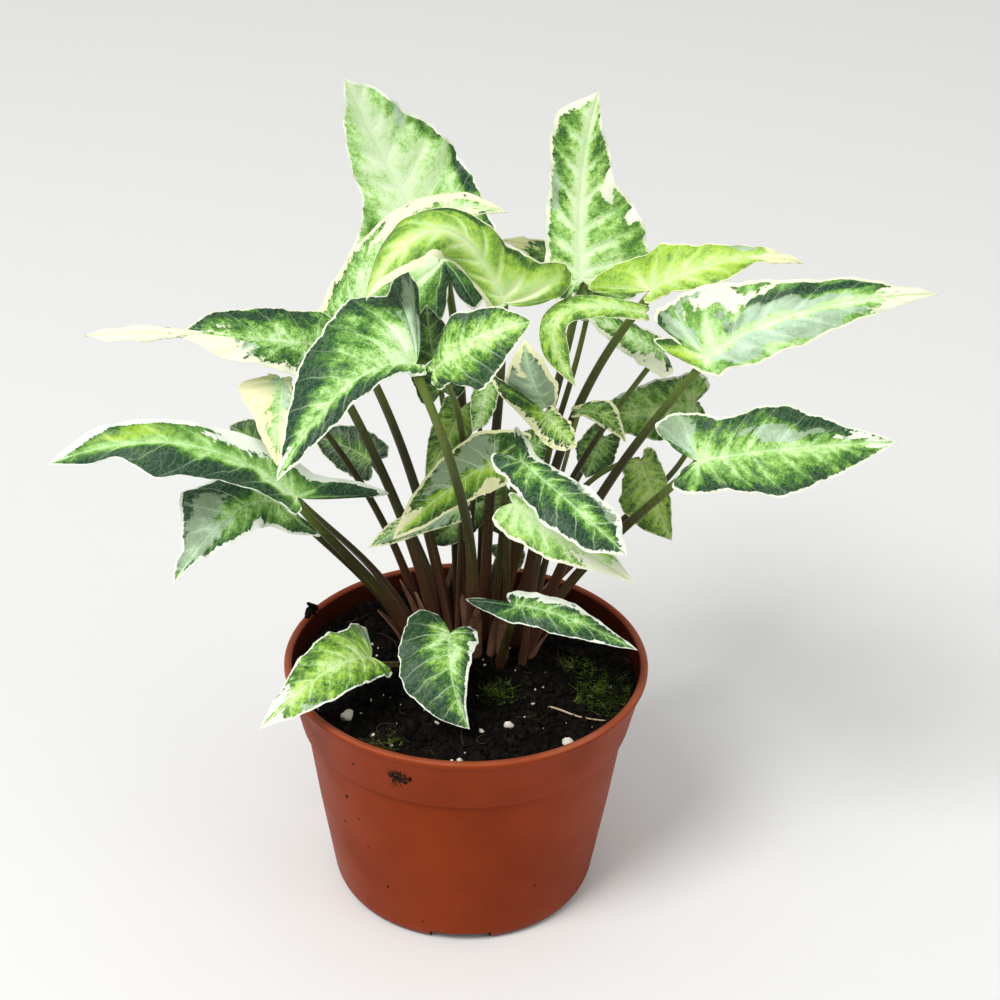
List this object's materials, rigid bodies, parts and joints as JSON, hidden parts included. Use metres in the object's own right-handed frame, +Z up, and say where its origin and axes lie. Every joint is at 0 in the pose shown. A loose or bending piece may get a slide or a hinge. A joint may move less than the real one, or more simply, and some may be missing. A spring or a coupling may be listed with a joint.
{
  "type": "potted arrowhead plant",
  "caption": "Bushy young arrowhead plant with pale variegated arrow-shaped leaves on slender dark stalks, growing from soil in a plain round terracotta-coloured nursery pot.",
  "frame": {"origin": "centre of the pot's underside, on the flat pad in the middle of the floor, level with the foot that it stands on", "axes": "+Z up along the pot's axis, +X to the right and +Y to the back, seen from the side that most leaves face"},
  "size_m": [0.2622, 0.1352, 0.2681],
  "materials": {
    "pot_plastic": "semi-matte terracotta-brown moulded plastic, lightly scuffed, with soil dust on the collar",
    "potting_soil": "coarse damp peat with white perlite grains and a little moss",
    "leaf_pale": "thin satin leaf, mint and cream with speckled green and pale veins",
    "leaf_green": "thin satin leaf, speckled mid green with pale midrib and a broken white margin",
    "leaf_dark": "thin satin leaf, plain dark green with slightly paler veins",
    "stalk": "smooth satin brown-olive stalk, greener at the leaf, with a pale pinkish sheath at the foot"
  },
  "bodies": {
    "root": {"pot": "pot_plastic", "soil": "potting_soil", "leaf_top_left": "leaf_pale", "petiole_top_left": "stalk", "leaf_arch": "leaf_pale", "petiole_arch": "stalk", "leaf_arch_back": "leaf_pale", "petiole_arch_back": "stalk", "leaf_far_left": "leaf_green", "petiole_far_left": "stalk", "leaf_cream_left": "leaf_pale", "petiole_cream_left": "stalk", "leaf_centre_left": "leaf_green", "petiole_centre_left": "stalk", "leaf_centre": "leaf_green", "petiole_centre": "stalk", "leaf_cream_fold": "leaf_pale", "petiole_cream_fold": "stalk", "leaf_cream_tip": "leaf_pale", "leaf_top_right": "leaf_pale", "petiole_top_right": "stalk", "leaf_dark_notch": "leaf_dark", "petiole_dark_notch": "stalk", "leaf_right_high": "leaf_green", "petiole_right_high": "stalk", "leaf_right_loop": "leaf_green", "leaf_right_long": "leaf_pale", "petiole_right_long": "stalk", "leaf_right_under": "leaf_green", "petiole_right_under": "stalk", "leaf_right_mid": "leaf_green", "petiole_right_mid": "stalk", "leaf_right_back": "leaf_dark", "petiole_right_back": "stalk", "leaf_right_low": "leaf_dark", "petiole_right_low": "stalk", "leaf_centre_right": "leaf_green", "petiole_centre_right": "stalk", "leaf_centre_fold": "leaf_pale", "leaf_centre_under": "leaf_pale", "petiole_centre_under": "stalk", "leaf_shade_low": "leaf_pale", "leaf_left_long": "leaf_green", "petiole_left_long": "stalk", "leaf_left_low": "leaf_green", "petiole_left_low": "stalk", "leaf_left_shade": "leaf_dark", "petiole_left_shade": "stalk", "leaf_rim_left": "leaf_green", "petiole_rim_left": "stalk", "leaf_front": "leaf_green", "petiole_front": "stalk", "leaf_front_right": "leaf_green", "petiole_front_right": "stalk", "leaf_dark_centre": "leaf_dark", "petiole_dark_centre": "stalk", "leaf_left_back": "leaf_dark", "petiole_left_back": "stalk", "leaf_low_shade": "leaf_dark", "petiole_low_shade": "stalk"}
  },
  "joints": []
}
